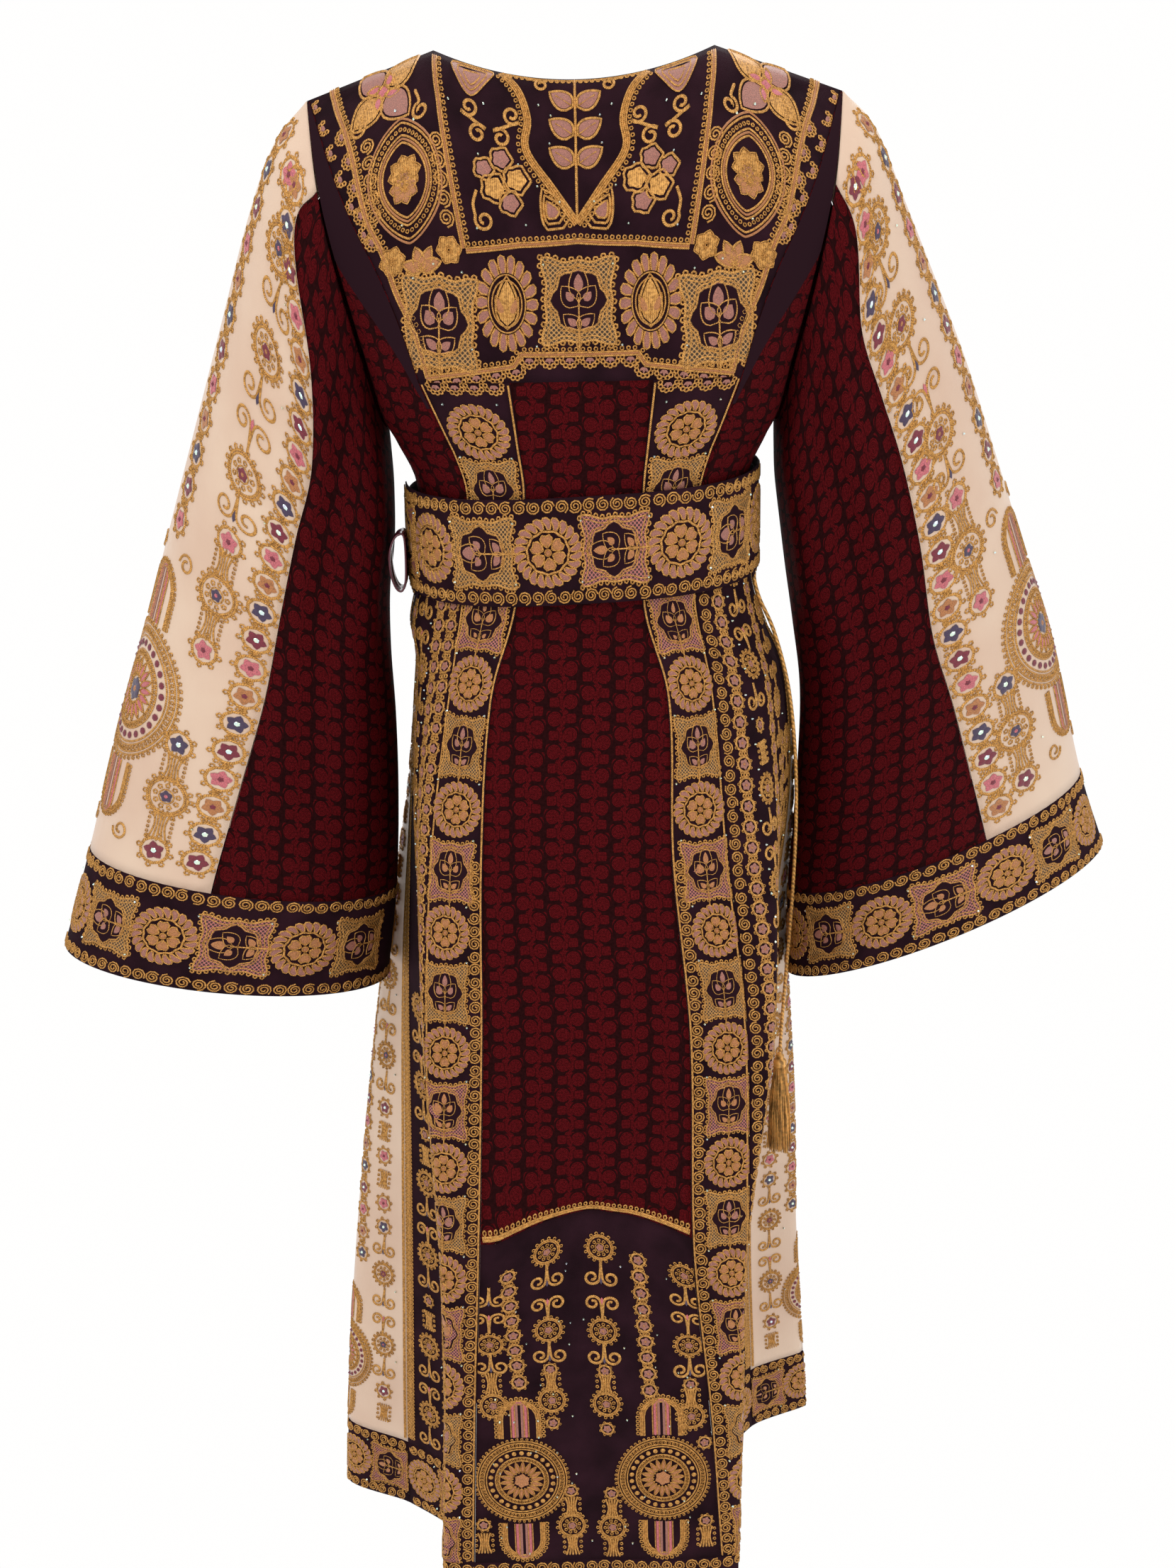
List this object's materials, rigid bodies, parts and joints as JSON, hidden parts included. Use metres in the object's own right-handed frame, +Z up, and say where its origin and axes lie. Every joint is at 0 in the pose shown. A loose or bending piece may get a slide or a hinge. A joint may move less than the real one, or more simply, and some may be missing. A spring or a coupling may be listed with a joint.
{
  "type": "thobe",
  "caption": "Long bell-sleeved embroidered thobe, worn and hollow: plum yoke and bands, maroon back, ivory sleeve strips and front skirt, wide belt with a tassel.",
  "frame": {"origin": "between the shoulders at the nape's height, where the wearer's neck and shoulders hold the garment", "axes": "+Z up, -Y the garment's back, +X the wearer's right hand side as seen from behind"},
  "size_m": [0.9523, 0.3998, 1.3617],
  "materials": {
    "plum_velvet": "matte dark plum cloth under gold cord embroidery",
    "maroon_brocade": "tone-on-tone maroon cloth with a stitched disc and leaf repeat",
    "ivory_satin": "soft ivory satin",
    "plum_satin": "glossy dark satin ribbon",
    "gold_cord": "twisted gold thread with a soft metallic sheen"
  },
  "bodies": {
    "root": {"back_yoke": "plum_velvet", "front_bodice": "plum_velvet", "bodice_side_l": "maroon_brocade", "bodice_side_r": "maroon_brocade", "back_center": "maroon_brocade", "back_band_l": "plum_velvet", "back_band_r": "plum_velvet", "back_lower": "plum_velvet", "side_panel_l": "plum_velvet", "side_panel_r": "plum_velvet", "front_panel_l": "ivory_satin", "front_panel_r": "ivory_satin", "hem_back": "plum_velvet", "hem_side_l": "plum_velvet", "hem_side_r": "plum_velvet", "hem_front_l": "plum_velvet", "hem_front_r": "plum_velvet", "sleeve_top_l": "ivory_satin", "sleeve_top_r": "ivory_satin", "sleeve_under_l": "maroon_brocade", "sleeve_under_r": "maroon_brocade", "cuff_back_l": "plum_velvet", "cuff_front_l": "plum_velvet", "cuff_back_r": "plum_velvet", "cuff_front_r": "plum_velvet", "belt_over": "plum_velvet", "belt_under": "plum_velvet", "tie_loop": "plum_satin", "tassel_cord": "gold_cord", "tassel": "gold_cord"}
  },
  "joints": []
}
